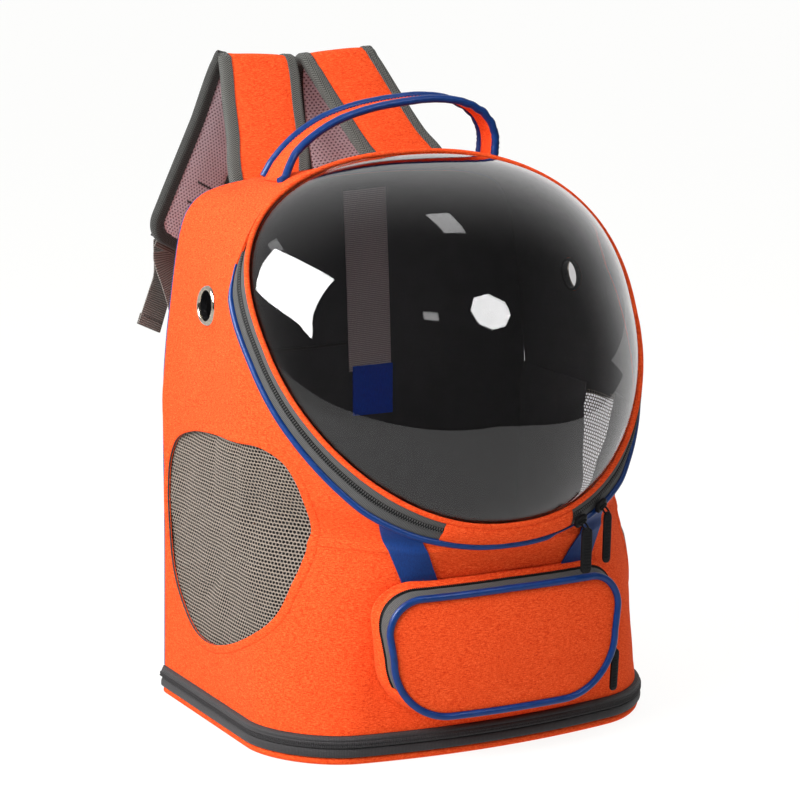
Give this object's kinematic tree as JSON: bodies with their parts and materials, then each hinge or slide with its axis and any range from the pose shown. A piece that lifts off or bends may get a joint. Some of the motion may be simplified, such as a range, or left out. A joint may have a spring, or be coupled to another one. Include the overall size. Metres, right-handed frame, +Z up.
{
  "type": "pet carrier backpack",
  "caption": "Upright cloth pet carrier backpack with a smoke-tinted domed door, side mesh windows, a front zip pocket, a carry handle and padded shoulder straps.",
  "frame": {"origin": "middle of the underside of the base, on the surface it stands on", "axes": "+Z up, -Y towards the domed door and the front pocket, +Y towards the shoulder straps, +X to the right seen from the door side"},
  "size_m": [0.3416, 0.4162, 0.5019],
  "materials": {
    "orange_cloth": "woven melange polyester",
    "window_mesh": "open woven mesh",
    "chrome": "polished",
    "zip_tape": "woven tape with a coil",
    "blue_piping": "glossy covered cord",
    "smoke_clear": "smoke-tinted clear plastic",
    "black_plastic": "moulded",
    "blue_tape": "woven tape",
    "webbing": "ribbed webbing"
  },
  "bodies": {
    "root": {"side_panel_left": "orange_cloth", "side_panel_right": "orange_cloth", "front_panel": "orange_cloth", "top_panel": "orange_cloth", "mesh_window_left": "window_mesh", "mesh_window_right": "window_mesh", "eyelet_left": "chrome", "eyelet_right": "chrome", "base_tray": "orange_cloth", "base_band": "zip_tape", "back_panel": "orange_cloth", "back_piping": "blue_piping", "door_rim": "orange_cloth", "dome": "smoke_clear", "door_zip_left": "zip_tape", "door_zip_right": "zip_tape", "door_patch": "orange_cloth", "door_piping": "blue_piping", "zip_slider_a": "black_plastic", "zip_pull_a": "black_plastic", "zip_slider_b": "black_plastic", "zip_pull_b": "black_plastic", "tab_left": "blue_tape", "tab_right": "blue_tape", "pocket_gusset": "orange_cloth", "pocket_zip": "zip_tape", "pocket_piping": "blue_piping", "pocket_face": "orange_cloth", "pocket_slider": "black_plastic", "pocket_pull": "black_plastic", "handle_strap": "orange_cloth", "handle_piping_front": "blue_piping", "handle_piping_back": "blue_piping", "strap_pad_left": "orange_cloth", "strap_pad_right": "orange_cloth", "strap_binding_left": "zip_tape", "strap_binding_right": "zip_tape", "ladder_lock_left": "black_plastic", "ladder_lock_right": "black_plastic", "strap_web_left": "webbing", "strap_web_right": "webbing", "strap_tail_left": "webbing", "strap_tail_right": "webbing", "inner_strap": "webbing", "inner_strap_tab": "blue_tape"}
  },
  "joints": []
}
